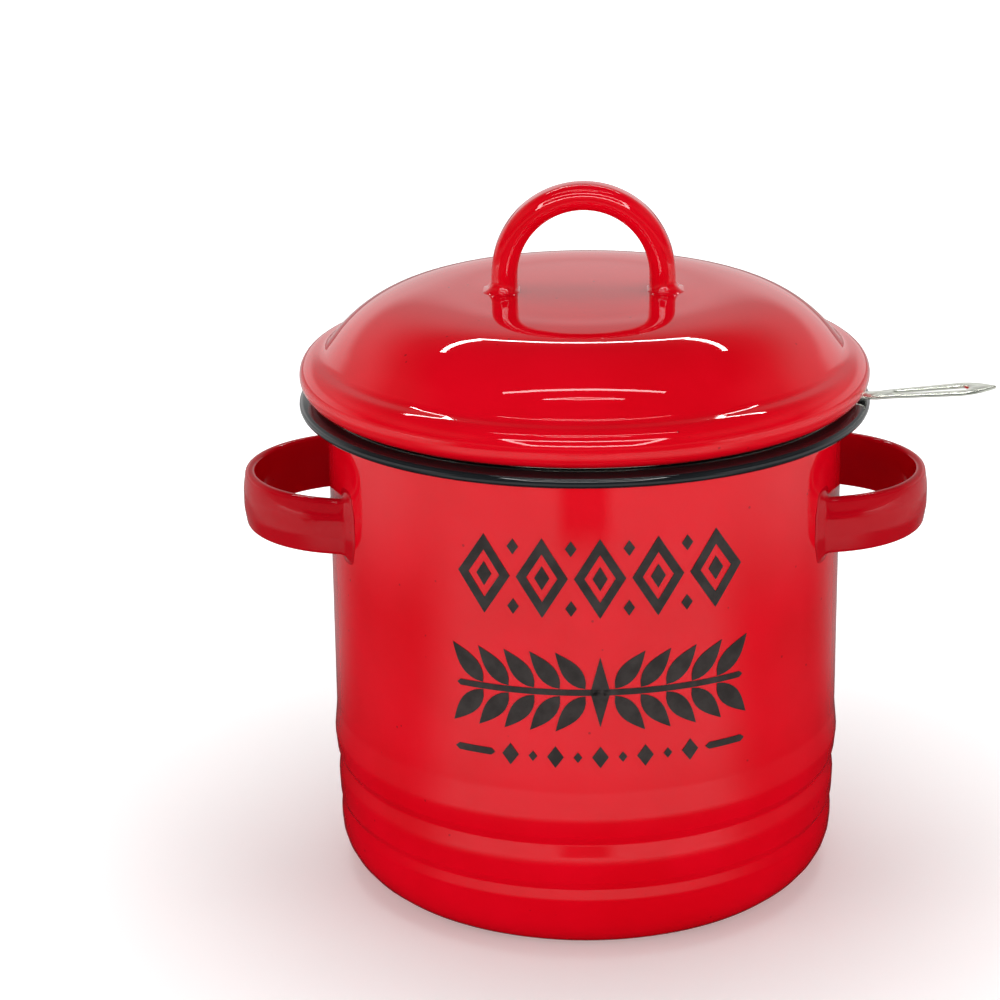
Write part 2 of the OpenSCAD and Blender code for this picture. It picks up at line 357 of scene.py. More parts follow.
class Value:
    """A number from a node. Arithmetic on it adds Math nodes."""

    def __init__(self, finish, socket):
        self.finish = finish
        self.socket = socket

    def math(self, operation, *others):
        return self.finish.add("ShaderNodeMath", {"operation": operation},
                               dict(enumerate((self, *others))))

    def __add__(self, other):
        return self.math("ADD", other)

    __radd__ = __add__

    def __sub__(self, other):
        return self.math("SUBTRACT", other)

    def __rsub__(self, other):
        return self.finish.add("ShaderNodeMath", {"operation": "SUBTRACT"}, {0: other, 1: self})

    def __mul__(self, other):
        return self.math("MULTIPLY", other)

    __rmul__ = __mul__

    def __truediv__(self, other):
        return self.math("DIVIDE", other)

    def between(self, low, high):
        """0 below low, 1 above high, and smooth in between."""
        return self.finish.add("ShaderNodeMapRange", {"interpolation_type": "SMOOTHSTEP"},
                               {"Value": self, "From Min": low, "From Max": high})


class Finish:
    """A node material, or the world, with one method that adds every node."""

    def __init__(self, owner):
        self.owner = owner
        owner.use_nodes = True
        self.nodes = owner.node_tree.nodes
        self.links = owner.node_tree.links
        self.nodes.clear()

    def add(self, kind, settings=None, inputs=None, output=0):
        node = self.nodes.new(kind)
        for setting, value in (settings or {}).items():
            if setting == "stops":
                ramp = node.color_ramp
                ramp.elements[0].color = (*value[0][1], 1)
                ramp.elements[-1].color = (*value[-1][1], 1)
                for place, shade in value[1:-1]:
                    ramp.elements.new(place).color = (*shade, 1)
            else:
                setattr(node, setting, value)
        for key, value in (inputs or {}).items():
            socket = node.inputs[key]
            if isinstance(value, Value):
                self.links.new(value.socket, socket)
            elif socket.type == "RGBA" and len(value) == 3:
                socket.default_value = (*value, 1)
            else:
                socket.default_value = value
        return Value(self, node.outputs[output])

    def blend(self, share, first, second):
        """Mix two colours."""
        return self.add("ShaderNodeMix", {"data_type": "RGBA"}, {0: share, 6: first, 7: second}, 2)

    def place(self):
        return self.add("ShaderNodeTexCoord", output="Object")

    def noise(self, scale, detail=2.0, roughness=0.5, distortion=0.0):
        return self.add("ShaderNodeTexNoise", None, {
            "Vector": self.place(), "Scale": scale, "Detail": detail,
            "Roughness": roughness, "Distortion": distortion})

    def axis(self, vector, name):
        return self.add("ShaderNodeSeparateXYZ", None, {0: vector}, name)

    def level(self, vector, least=0.0):
        """A vector's x and y, and its length in the XY plane, kept off 0 by a least square."""
        x, y = (self.axis(vector, axis) for axis in "XY")
        return x, y, (x * x + y * y + least).math("SQRT")

    def rays(self):
        """1 for rays from the camera, and 1 for rays from a mirror."""
        return [self.add("ShaderNodeLightPath", output=f"Is {kind} Ray")
                for kind in ("Camera", "Glossy")]

    def bump(self, height, distance, normal=None):
        inputs = {"Height": height, "Distance": distance, "Strength": 1.0}
        if normal:
            inputs["Normal"] = normal
        return self.add("ShaderNodeBump", None, inputs)

    def close(self, **inputs):
        """Finish the material with one Principled shader."""
        named = {name.replace("_", " "): value for name, value in inputs.items()}
        shader = self.add("ShaderNodeBsdfPrincipled", None, named)
        self.add_output(shader)
        return self.owner

    def add_output(self, shader):
        kind = "World" if isinstance(self.owner, bpy.types.World) else "Material"
        node = self.nodes.new("ShaderNodeOutput" + kind)
        self.links.new(shader.socket, node.inputs["Surface"])


def new_finish(name):
    return Finish(bpy.data.materials.new(name))


def enamel(name, fresh, deep, speck, gloss=1.0):
    """Glossy vitreous enamel: a flowing skin with faint mottling and pinholes."""
    if name in bpy.data.materials:
        return bpy.data.materials[name]
    flow_depth, peel_depth, hole_depth = 0.00016, 0.000022, 0.00002
    skin = new_finish(name)
    mottle = skin.noise(45, 2, 0.5).between(0.3, 0.75)
    body = skin.blend(mottle * 0.6, fresh, deep)
    dots = skin.add("ShaderNodeTexVoronoi", {"feature": "F1"},
                    {"Vector": skin.place(), "Scale": 320, "Randomness": 1.0}, "Distance")
    rare = skin.noise(130, 1).between(0.62, 0.66)
    pinholes = (1 - dots.between(0.07, 0.13)) * rare
    tinted = skin.blend(pinholes * 0.6, body, speck)
    ripple = skin.noise(75, 1, 0.4)
    peel = skin.noise(620, 2, 0.5)
    flow = skin.bump(ripple, flow_depth)
    grain = skin.bump(peel, peel_depth, flow)
    dimpled = skin.bump(pinholes, -hole_depth, grain)
    rough = 0.36 + skin.noise(160, 2) * 0.12
    return skin.close(Base_Color=tinted, Roughness=rough, Specular_IOR_Level=0.0,
                      Coat_Weight=gloss, Coat_Roughness=0.025, Coat_IOR=1.5, Normal=dimpled)


def polished_steel(name, tone, rings, metal=1.0, haze=0.0, press=0.00045):
    """Polished steel with soft press waves and fine spinning lines."""
    line_depth = 0.000006
    skin = new_finish(name)
    reach = skin.level(skin.place())[2]
    spun = skin.add("ShaderNodeTexNoise", {"noise_dimensions": "1D"},
                    {"W": reach, "Scale": rings, "Detail": 2.0})
    waves = skin.noise(48, 2, 0.55, distortion=0.6)
    smear = skin.noise(95, 3, 0.6, distortion=1.2).between(0.4, 0.75)
    dull = tuple(share * fade for share, fade in zip(tone, (0.86, 0.85, 0.80)))
    tarnish = skin.blend(smear * 0.35, tone, dull)
    pressed = skin.bump(waves, press)
    lined = skin.bump(spun, line_depth, pressed)
    rough = 0.05 + haze + smear * 0.07 + spun * 0.04
    return skin.close(Base_Color=tarnish, Metallic=metal, Roughness=rough, Normal=lined)


def printed_ink(name, tone):
    """Charcoal print: fired on, a little duller than the enamel and not quite even."""
    grain_depth = 0.000012
    skin = new_finish(name)
    cloud = skin.noise(220, 3, 0.6)
    thin = tuple(share * 1.7 + 0.004 for share in tone)
    body = skin.blend(cloud.between(0.3, 0.75), tone, thin)
    grain = skin.bump(skin.noise(900, 2), grain_depth)
    return skin.close(Base_Color=body, Roughness=0.35 + cloud * 0.2, Specular_IOR_Level=0.15,
                      Coat_Weight=0.12, Coat_Roughness=0.12, Normal=grain)


def tone_of(name):
    return tuple(getattr(bpy.context.scene.pot_finishes, name))


def darker(tone, share):
    return tuple(part * share for part in tone)


def red_enamel():
    return enamel("glossy_red", tone_of("red"), tone_of("red_deep"), (0.12, 0.002, 0.004))


# Painted shade: a copy of the red enamel, darker and with less coat, for parts that lie in shade
def shaded_enamel():
    tone = tone_of("shaded")
    return enamel("painted_shade_red", tone, darker(tone, 0.8), (0.10, 0.002, 0.004), gloss=0.6)


def black_enamel():
    tone = tone_of("black")
    return enamel("glossy_black", tone, darker(tone, 0.6), (0.05, 0.05, 0.05))


# -------- pieces

class POT_OT_shell(bpy.types.Operator):
    """Spin the pot's wall, base and rolled rim, and split the enamel into red and black"""
    bl_idname = "pot.shell"
    bl_label = "Pot"

    def execute(self, context):
        pot = context.scene.pot_sizes
        wall, top, low, high = pot.wall_r, pot.height, pot.lower_bead, pot.upper_bead
        under_rim = top - pot.rim_h
        inner, sheet = wall - pot.wall_t, pot.wall_t
        foot_in, foot_out, step_up, step_r = 35 * MM, 36.5 * MM, 0.6 * MM, 0.5 * MM
        # A crease's height, then in millimetres: out from the wall, up from the height, radius
        creases = (
            (low, -0.45, -3.2, 7), (low, -0.95, -0.2, 1.1), (low, -0.30, 1.5, 2.2),
            (high, -0.05, -4.5, 12), (high, -0.85, -0.2, 1.1), (high, 0.15, 1.9, 2.4),
            (high, 0.62, 6.4, 9), (high, 0, 13, 16))
        outside = [
            (0, step_up, 0), (foot_in, step_up, step_r), (foot_out, 0, step_r),
            (wall - 0.5 * MM, 0, pot.corner_r),
            *((wall + out * MM, bead + up * MM, radius * MM) for bead, out, up, radius in creases),
            (wall, under_rim, 0.8 * MM), (pot.rim_r, under_rim, 1.35 * MM),
            (pot.rim_r, top - 0.75 * MM, 1.2 * MM), (inner + 2.5 * MM, top, 0.45 * MM),
        ]
        inside = [
            (inner + 0.1 * MM, top - 5 * MM, 5 * MM),
            (inner, high + 12 * MM, 10 * MM), (inner - 0.9 * MM, high, 3 * MM),
            (inner - 1.1 * MM, sheet, pot.corner_r - sheet),
            (foot_out, sheet, step_r), (foot_in, sheet + step_up, step_r),
            (0, sheet + step_up, 0),
        ]
        piece = lathe("pot", rounded(outside + inside, 8))
        finish(piece, "pot", "pot_shell", "pot_enamel", red_enamel(), black_enamel())
        open_edit(piece, "FACE")

        def is_black(middle, normal):
            reach = math.hypot(middle.x, middle.y)
            outward = (normal.x * middle.x + normal.y * middle.y) / max(reach, MM)
            over_rim = middle.z > under_rim - 0.01 * MM and reach > wall + 4.6 * MM
            return over_rim or middle.z > under_rim + 0.1 * MM or outward < -0.1 or normal.z > 0.5
        choose(piece, "FACE", is_black)
        piece.active_material_index = 1
        bpy.ops.object.material_slot_assign()
        leave_edit_mode()
        return {"FINISHED"}


class POT_OT_ears(bpy.types.Operator):
    """Bend a crowned strap into a loop, flare its feet on to the wall, and mirror it"""
    bl_idname = "pot.ears"
    bl_label = "Ear handles"

    def execute(self, context):
        pot = context.scene.pot_sizes
        half_h, thick, fillet = pot.ear_h / 2, pot.ear_t, pot.fillet
        mid_r = pot.ear_r - thick / 2
        inner, outer = pot.ear_x + pot.ear_r - thick, pot.ear_x + pot.ear_r
        edge_x, crown_h = outer - 0.7 * MM, half_h * 0.35
        inner_r, edge_r, crown_r = 0.9 * MM, 1.2 * MM, 9 * MM
        low, mid, high = pot.ear_z - half_h, pot.ear_z, pot.ear_z + half_h
        section = rounded([
            (inner, mid, 0), (inner, low, inner_r), (edge_x, low, edge_r),
            (outer, mid - crown_h, crown_r), (outer, mid + crown_h, crown_r),
            (edge_x, high, edge_r), (inner, high, inner_r), (inner, mid + 0.1 * MM, 0),
        ], 5)
        ear = draw("right_ear_loop", section, closed=True)
        bend = 78.0
        bpy.ops.mesh.spin(steps=26, angle=math.radians(bend), center=(pot.ear_x, 0, mid),
                          axis=Z_AXIS)

        # The last ring may lie on either side, so its side is read from the mesh
        mesh = bmesh.from_edit_mesh(ear.data)
        side = 1 if sum(vert.co.y for vert in mesh.verts if vert.select) > 0 else -1
        turn = math.radians(bend)
        start = Vector((pot.ear_x + mid_r * math.cos(turn), side * mid_r * math.sin(turn), mid))
        heading = Vector((-math.sin(turn), side * math.cos(turn), 0))
        travel = 0.0
        while (start + heading * travel).xy.length > pot.wall_r:
            travel += 0.05 * MM
        foot = start + heading * travel
        outward = Vector((foot.x, foot.y, 0)).normalized()
        swing = math.degrees(heading.angle(-outward)) * side
        centre = start
        thickness, height, done = 1.0, 1.0, 0.0
        square_on = 0.6 * MM
        for distance in (2.7, 2.1, 1.5, 1.0, 0.6, 0.3, 0.1, 0.0, -0.45):
            distance *= MM
            share = min(1.0, 1 - distance / travel) if distance > 0 else 1.0
            target = start.lerp(foot, share)
            if distance <= square_on:
                target = foot + outward * distance
            spread = flare(fillet, distance)
            new_thickness = 1 + 2 * spread / thick
            new_height = 1 + 2 * spread / pot.ear_h
            ease = share * share * (3 - 2 * share)
            factors = (new_thickness / thickness, new_thickness / thickness, new_height / height)
            grow_ring(tuple(target - centre), tuple(target), factors, swing * (ease - done))
            centre, thickness, height, done = target, new_thickness, new_height, ease
        modify(ear, "MIRROR", use_axis=(False, True, False), merge_threshold=0.01 * MM)
        open_edit(ear)
        close_up(ear, 50)
        bpy.ops.object.duplicate()
        other = name_active("left_ear_loop")
        open_edit(other)
        bpy.ops.transform.resize(value=(-1, 1, 1), center_override=ORIGIN)
        close_up(other, 50)
        # The ears take the darker copy of the red: painted shade
        finish(ear, "pot", "right_ear", "red_enamel", shaded_enamel())
        finish(other, "pot", "left_ear", "red_enamel", shaded_enamel())
        return {"FINISHED"}


class POT_OT_print(bpy.types.Operator):
    """Lay out a plain ornament of lozenges and leaves, and wrap it on the wall"""
    bl_idname = "pot.print"
    bl_label = "Printed ornament"

    def execute(self, context):
        rows = context.scene.pot_print
        front = -context.scene.pot_sizes.wall_r - 4 * MM
        shapes = []

        def cut_out(name, edge):
            shapes.append(draw(name, edge, y=front, closed=True))
            bpy.ops.mesh.edge_face_add()

        def lozenge(x, z, half_w, half_h, line=0.0):
            """A lozenge, or its outline in lines this broad. All but z are in millimetres."""
            x, half_w, half_h = x * MM, half_w * MM, half_h * MM
            cut_out("lozenge", [(x - half_w, z), (x, z + half_h), (x + half_w, z), (x, z - half_h)])
            if line:
                bpy.ops.mesh.select_mode(type="FACE")
                select_mesh()
                bpy.ops.mesh.inset(thickness=line * MM, depth=0)
                bpy.ops.mesh.delete(type="FACE")

        def leaf(x, z, length, width, lean):
            middle = Vector((x, z))
            along = Vector((math.cos(lean), math.sin(lean)))
            across = Vector((-along.y, along.x))
            steps = 9
            edge = []
            for sign, order in ((1, range(steps + 1)), (-1, range(steps - 1, 0, -1))):
                for step in order:
                    share = step / steps
                    belly = math.sin(math.pi * share ** 0.8) * width / 2 * sign
                    edge.append(tuple(middle + along * length * share + across * belly))
            cut_out("leaf", edge)

        def bar(x, z, length, height):
            half_l, half_h = length / 2, height / 2
            flat = half_l - half_h
            cut_out("bar", [(x - half_l, z), (x - flat, z + half_h), (x + flat, z + half_h),
                            (x + half_l, z), (x + flat, z - half_h), (x - flat, z - half_h)])

        upper, middle, lower = rows.upper_z, rows.middle_z, rows.lower_z
        pitch, leaf_pitch, dot_pitch = 13.2, 5.9, 5.2
        for index in range(5):
            x = (index - 2) * pitch
            lozenge(x, upper, 5.9, 9.6, 2.0)
            lozenge(x, upper, 1.7, 2.9)
        for index in range(4):
            for side in (-1, 1):
                lozenge((index - 1.5) * pitch, upper + side * 7.2 * MM, 1.3, 1.9)
        bar(0, middle, 66 * MM, 1.5 * MM)
        for side in (-1, 1):
            for index in range(5):
                x = side * (3.4 + index * leaf_pitch) * MM
                for rise in (-1, 1):
                    lean = math.radians(52) * rise
                    lean = lean if side > 0 else math.pi - lean
                    leaf(x, middle + rise * 0.9 * MM, 11.2 * MM, 4.2 * MM, lean)
        lozenge(0, middle, 2.3, 8.6)
        for side in (-1, 1):
            bar(side * 29 * MM, lower, 9.2 * MM, 1.7 * MM)
        for index in range(9):
            lozenge((index - 4) * dot_pitch, lower, *((1.0, 1.3) if index % 2 else (1.9, 2.7)))

        take(*shapes)
        bpy.ops.object.join()
        piece = name_active("printed_ornament")
        open_edit(piece)
        bpy.ops.transform.translate(value=(rows.shift, 0, 0))
        strip = 1.4 * MM
        for step in range(-24, 31):
            cut_mesh((step * strip, 0, 0), X_AXIS)
        select_mesh()
        bpy.ops.mesh.quads_convert_to_tris()
        choose(piece, "FACE", lambda middle, normal: normal.y > 0)
        bpy.ops.mesh.flip_normals()
        modify(piece, "SHRINKWRAP", target=bpy.data.objects["pot"], wrap_method="PROJECT",
               use_project_y=True, use_positive_direction=True, use_negative_direction=False)
        modify(piece, "SOLIDIFY", thickness=rows.thickness, offset=1.0, use_even_offset=True)
        bpy.ops.object.shade_smooth_by_angle(angle=math.radians(30))
        finish(piece, "pot", "pot_shell", "pot_enamel", printed_ink("printed_ink", tone_of("ink")))
        return {"FINISHED"}


class POT_OT_bowl(bpy.types.Operator):
    """Spin the pressed bowl of the strainer with its flange and its ring for the screen"""
    bl_idname = "pot.bowl"
    bl_label = "Strainer bowl"

    def execute(self, context):
        bowl = context.scene.pot_strainer
        outer, inner = bowl.bowl_r, bowl.bowl_r - bowl.bowl_t
        top, base = SEAT, BOWL_BASE
        under, ledge_top = top - bowl.flange_t, base + bowl.bowl_t
        outline = rounded([
            (bowl.ledge_r, base + bowl.bowl_t / 2, 0), (bowl.ledge_r, base, 0.1 * MM),
            (outer, base, bowl.corner_r), (outer, under, 0.15 * MM),
            (bowl.flange_r, under, 0.35 * MM), (bowl.flange_r, top, 0.35 * MM),
            (inner, top, 0.9 * MM), (inner, ledge_top, bowl.corner_r - bowl.bowl_t),
            (bowl.ledge_r, ledge_top, 0.1 * MM), (bowl.ledge_r, base + bowl.bowl_t * 0.6, 0),
        ], 8)
        piece = lathe("strainer_cup", outline, closed=True, smooth=50)
        finish(piece, "strainer", "strainer_bowl", "stainless",
               polished_steel("bowl_steel", tone_of("steel"), 2600))
        return {"FINISHED"}


class POT_OT_screen(bpy.types.Operator):
    """Cut a disc into square panels and each panel into slots, and thicken it"""
    bl_idname = "pot.screen"
    bl_label = "Strainer screen"

    def execute(self, context):
        bowl = context.scene.pot_strainer
        base, thick = SCREEN_LOW.z, SCREEN_HIGH.z - SCREEN_LOW.z
        slotted_r, outer_r = bowl.ledge_r - 1.0 * MM, SCREEN_HIGH.y - INSET
        clear_selection()
        bpy.ops.mesh.primitive_circle_add(vertices=128, radius=slotted_r, fill_type="NGON",
                                          location=(0, 0, base))
        piece = name_active("slotted_screen")
        bpy.ops.object.transform_apply(location=True, rotation=False, scale=False)
        along = Vector((math.cos(bowl.turn), math.sin(bowl.turn), 0))
        across = Vector((-along.y, along.x, 0))
        step = bowl.panel + bowl.bar

        def panel_share(middle):
            """How far a point lies from the middle of its panel, along and across."""
            u = (middle.dot(along) / step) % 1 - 0.5
            v = (middle.dot(across) / step + 0.5) % 1 - 0.5
            return max(abs(u), abs(v)) * step

        open_edit(piece)
        for count in range(-3, 4):
            for line, shift in ((along, 0.0), (across, 0.5)):
                for side in (-1, 1):
                    reach = (count + shift) * step + side * bowl.bar / 2
                    if abs(reach) < slotted_r:
                        cut_mesh(line * reach, line)
        choose(piece, "FACE", lambda middle, normal: panel_share(middle) > bowl.panel / 2)
        bpy.ops.mesh.hide()
        slot_turn = bowl.turn - bowl.lean
        slot_line = Vector((math.cos(slot_turn), math.sin(slot_turn), 0))
        rows = int(slotted_r / bowl.pitch) + 1
        for row in range(-rows, rows + 1):
            for side in (-1, 1):
                cut_mesh(slot_line * (row * bowl.pitch + side * bowl.slot / 2), slot_line)

        def in_slot(middle, normal):
            phase = (middle.dot(slot_line) / bowl.pitch + 0.5) % 1 - 0.5
            return abs(phase) * bowl.pitch < bowl.slot / 2 and panel_share(middle) < bowl.panel / 2
        bpy.ops.mesh.reveal()
        choose(piece, "FACE", in_slot)
        bpy.ops.mesh.delete(type="FACE")
        choose(piece, "EDGE", lambda middle, normal: middle.xy.length > slotted_r - 0.05 * MM)
        extrude(ORIGIN)
        grow = outer_r / slotted_r
        bpy.ops.transform.resize(value=(grow, grow, 1), center_override=(0, 0, base))
        select_mesh()
        bpy.ops.mesh.remove_doubles(threshold=MERGE / 2)
        select_mesh()
        extrude((0, 0, thick))
        face_outwards()
        # Mostly matte and pale, so the screen shows bright: painted sheen over satin steel
        finish(piece, "strainer", "strainer_screen", "stainless_screen",
               polished_steel("screen_steel", tone_of("satin"), 900, metal=0.2, haze=0.3))
        return {"FINISHED"}


class POT_OT_blade(bpy.types.Operator):
    """Cut the strainer's flat handle with its hanging slot, thicken it and bend it up"""
    bl_idname = "pot.blade"
    bl_label = "Strainer handle"

    def execute(self, context):
        bowl = context.scene.pot_strainer
        start, bend = bowl.flange_r - 0.4 * MM, bowl.bend_r
        tip = bend + bowl.blade_l
        wide = tip - 8.5 * MM
        slot_tip, slot_tip_r = wide + 0.4 * MM, 1.75 * MM
        slot_root, slot_root_r = wide - 14.6 * MM, 1.2 * MM
        root = bowl.blade_root / 2
        edge = [(start, root + 1.6 * MM), (start + 0.8 * MM, root + 0.5 * MM),
                (bend - 1 * MM, root), (bend + 0.4 * MM, root)]
        edge += [(bend + (wide - bend) * share,
                  root + (bowl.blade_w - bowl.blade_root) / 2 * share ** 1.1)
                 for share in (0.25, 0.5, 0.75)]
        edge += [(wide + (tip - wide) * share, bowl.blade_w / 2 * (1 - share ** 1.9))
                 for share in (0, 0.14, 0.28, 0.42, 0.56, 0.7, 0.82, 0.92)]
        outline = edge + [(tip, 0)] + [(x, -y) for x, y in reversed(edge)]
        slot = arc(slot_tip, 0, slot_tip_r, 90, -90, 8) + arc(slot_root, 0, slot_root_r, 270, 90, 8)
        blade = draw("blade", outline, closed=True)
        hole = draw("hole", slot, closed=True)
        take(blade, hole)
        bpy.ops.object.join()
        open_edit(blade)
        bpy.ops.mesh.fill(use_beauty=True)
        face_outwards()
        # The outline was drawn upright, so it is laid flat, halfway through the flange
        middle_z = SEAT - bowl.flange_t / 2
        turn_selection(90, ORIGIN, "X")
        bpy.ops.transform.translate(value=(0, 0, middle_z))
        modify(blade, "SOLIDIFY", thickness=bowl.flange_t, offset=0.0)
        modify(blade, "BEVEL", width=0.16 * MM, segments=2, angle_limit=math.radians(40))
        open_edit(blade)
        centre = (bend, 0, middle_z)
        share = math.degrees(bowl.rise) / 2
        for reach in (bend + 0.2 * MM, bend + 3 * MM):
            cut_mesh((reach - 0.1 * MM, 0, 0), X_AXIS)
            choose(blade, "VERT", lambda middle, normal: middle.x > reach)
            turn_selection(-share, centre, "Y")
        select_mesh()
        turn_selection(math.degrees(bowl.turn), ORIGIN)
        close_up(blade, 30)
        name_active("strainer_blade")
        finish(blade, "strainer", "strainer_handle", "stainless",
               polished_steel("blade_steel", tone_of("steel"), 2600, haze=0.16, press=0.0001))
        return {"FINISHED"}


class POT_OT_lid(bpy.types.Operator):
    """Spin the lid's dome and its rolled bead"""
    bl_idname = "pot.lid"
    bl_label = "Lid"

    def execute(self, context):
        lid = context.scene.pot_lid
        drop, spread = lid.dome_h - 9.7 * MM, lid.dome_r - lid.flat_r
        power, steps, fall = 3.25, 22, 0.15 * MM

        def crown(depth):
            return [(lid.flat_r * share, SEAT + lid.dome_h - fall * share * share - depth)
                    for share in (0, 0.25, 0.5, 0.75, 0.9)]

        def dome(depth):
            points = []
            for step in range(steps + 1):
                share = step / steps
                slope = math.atan(drop * power * share ** (power - 1) / spread)
                height = SEAT + lid.dome_h - fall - drop * share ** power
                points.append((lid.flat_r + spread * share - depth * math.sin(slope),
                               height - depth * math.cos(slope)))
            return points

        # The bead is a circle whose lowest part the seat cuts off
        cut = 0.25 * MM
        floor_angle = -math.degrees(math.asin((lid.bead_r - cut) / lid.bead_r))
        bead = arc(lid.bead_x, SEAT + lid.bead_r - cut, lid.bead_r, 78, floor_angle + 6, 28)
        outer_skin, inner_skin = dome(0), dome(lid.sheet)[:-1]
        valley = rounded([(*outer_skin[-3], 0), (*outer_skin[-1], 3.6 * MM), (*bead[0], 0)], 8)
        collar, web, ledge = lid.skirt_r - 0.1 * MM, lid.dome_r - 0.9 * MM, SEAT + lid.sheet
        under = rounded([
            (lid.bead_x + lid.bead_r * 0.36, SEAT, 0), (collar, SEAT, 0.1 * MM),
            (collar, ledge, 0.1 * MM), (web, ledge, 0.5 * MM), (web, SEAT + 7.5 * MM, 0),
        ], 3)
        outline = crown(0) + outer_skin[:-3] + valley[:-1] + bead + under
        outline += inner_skin[::-1] + crown(lid.sheet)[::-1]
        piece = lathe("lid_dome", outline, smooth=55)
        finish(piece, "lid", "lid_shell", "red_enamel", red_enamel())
        return {"FINISHED"}


class POT_OT_skirt(bpy.types.Operator):
    """Spin the lid's skirt with its collar and its rolled hem"""
    bl_idname = "pot.skirt"
    bl_label = "Lid skirt"

    def execute(self, context):
        lid = context.scene.pot_lid
        base, top = SKIRT_BASE + 0.02 * MM, SEAT + 2.7 * MM
        neck = lid.skirt_r - lid.neck_in
        inner = neck - lid.skirt_t
        hem_x, hem_z = lid.skirt_r - lid.hem_r, base + lid.hem_r
        core = lid.hem_r - lid.skirt_t
        outside = rounded([
            (inner, top, 0), (lid.skirt_r, top, 0.3 * MM), (lid.skirt_r, SEAT - 1.3 * MM, 0.7 * MM),
            (neck, SEAT - 2.1 * MM, 0.5 * MM), (neck, SEAT - 2.8 * MM, 0.7 * MM),
            (lid.skirt_r, SEAT - 4.4 * MM, 2 * MM), (lid.skirt_r, hem_z + 0.1 * MM, 0),
        ], 5)
        curl_end = -245
        curl = arc(hem_x, hem_z, lid.hem_r, 0, curl_end, 40)
        curl_in = arc(hem_x, hem_z, core, curl_end, 50, 40)
        outline = outside + curl + curl_in + [(inner, hem_z + lid.hem_r * 0.80)]
        piece = lathe("lid_collar", outline, closed=True, smooth=45)
        # The skirt takes the darker copy of the red: painted shade
        finish(piece, "lid", "lid_skirt", "red_enamel", shaded_enamel())
        return {"FINISHED"}


class POT_OT_lid_handle(bpy.types.Operator):
    """Spin a rounded bar into an arch and flare its two feet on to the dome"""
    bl_idname = "pot.lid_handle"
    bl_label = "Lid handle"

    def execute(self, context):
        lid = context.scene.pot_lid
        fillet = context.scene.pot_sizes.fillet
        dome_top = SEAT + lid.dome_h - 0.3 * MM
        spring_z = HANDLE_TOP - INSET - lid.arch_r - lid.arch_t / 2
        half_t, half_w, round_r = lid.arch_t / 2, lid.arch_w / 2, 3.1 * MM
        section = rounded([
            (-half_t, 0, 0), (-half_t, -half_w, round_r), (half_t, -half_w, round_r),
            (half_t, half_w, round_r), (-half_t, half_w, round_r), (-half_t, 0.1 * MM, 0),
        ], 8)
        piece = draw("lid_arch", section, closed=True)
        turn_selection(90, ORIGIN, "X")
        bpy.ops.transform.translate(value=(lid.arch_r, 0, spring_z))
        bpy.ops.mesh.spin(steps=56, angle=math.pi, center=(0, 0, spring_z), axis=Y_AXIS)
        mesh = bmesh.from_edit_mesh(piece.data)
        if min(vert.co.z for vert in mesh.verts) < spring_z - MM:
            # The arch was spun downwards, so it is turned over
            select_mesh()
            turn_selection(180, (0, 0, spring_z), "Y")
        for side in (-1, 1):
            def is_end(middle, normal):
                return middle.x * side > 0 and middle.z < spring_z + 0.01 * MM
            choose(piece, "EDGE", is_end)
            centre = Vector((side * lid.arch_r, 0, spring_z))
            broad, deep = 1.0, 1.0
            for distance in (2.7, 2.0, 1.4, 0.9, 0.5, 0.2, 0.05, -0.5):
                height = dome_top + distance * MM
                if height >= centre.z:
                    continue
                outwards = flare(1.3 * fillet, distance * MM)
                inwards = flare(0.5 * fillet, distance * MM)
                target = Vector((side * (lid.arch_r + (outwards - inwards) / 2), 0, height))
                new_broad = 1 + (outwards + inwards) / lid.arch_t
                new_deep = 1 + (outwards + inwards) / lid.arch_w
                factors = (new_broad / broad, new_deep / deep, 1)
                grow_ring(tuple(target - centre), tuple(target), factors)
                centre, broad, deep = target, new_broad, new_deep
        close_up(piece, 60)
        finish(piece, "lid", "lid_handle", "red_enamel", red_enamel())
        return {"FINISHED"}


# -------- studio

POT_MIDDLE = Vector((0, 0, 0.08))
FLOOR_RADIUS = 4.0
CAMERA_PLACE = (0, -0.677, 0.324)
CAMERA_TURN = (18.75, -1.76, -0.79)     # pitch, pan and roll in degrees
CAMERA_LENS, CAMERA_SENSOR = 104.3, 36

# Lamps on both sides: name, start, end, width and radiance, and False if they aren't mirrored
PAIRED_LAMPS = (
    ("frame", (0.30, -0.82, 0.40), (0.42, -0.60, 0.70), 0.05, 11),
    ("arch", (0.27, 1.02, 1.08), (0.53, 0.60, 1.08), 0.028, 22),
    ("loop", (0.19, -0.325, 0.95), (0, -0.310, 0.95), 0.008, 11),
    ("lower_loop", (0.19, -0.325, 0.95), (0, -0.340, 0.95), 0.008, 11),
    ("side", (1.40, -0.30, 0.26), (0.95, -1.05, 0.26), 0.5, 4.6, False),
)
# Lamps across the middle: the same, with the right end alone
MIDDLE_LAMPS = (
    ("frame_near", (0.30, -0.82, 0.40), 0.07, 11),
    ("frame_upper", (0.42, -0.60, 0.70), 0.06, 11),
    ("line_above", (0.37, -0.20, 0.95), 0.022, 11),
    ("arch_far", (0.27, 1.06, 1.08), 0.032, 22),
    ("overhead", (0.45, 0.2, 1.3), 0.9, 3.0, False),
    ("front", (0.60, -1.40, 0.36), 0.5, 2.2, False),
)


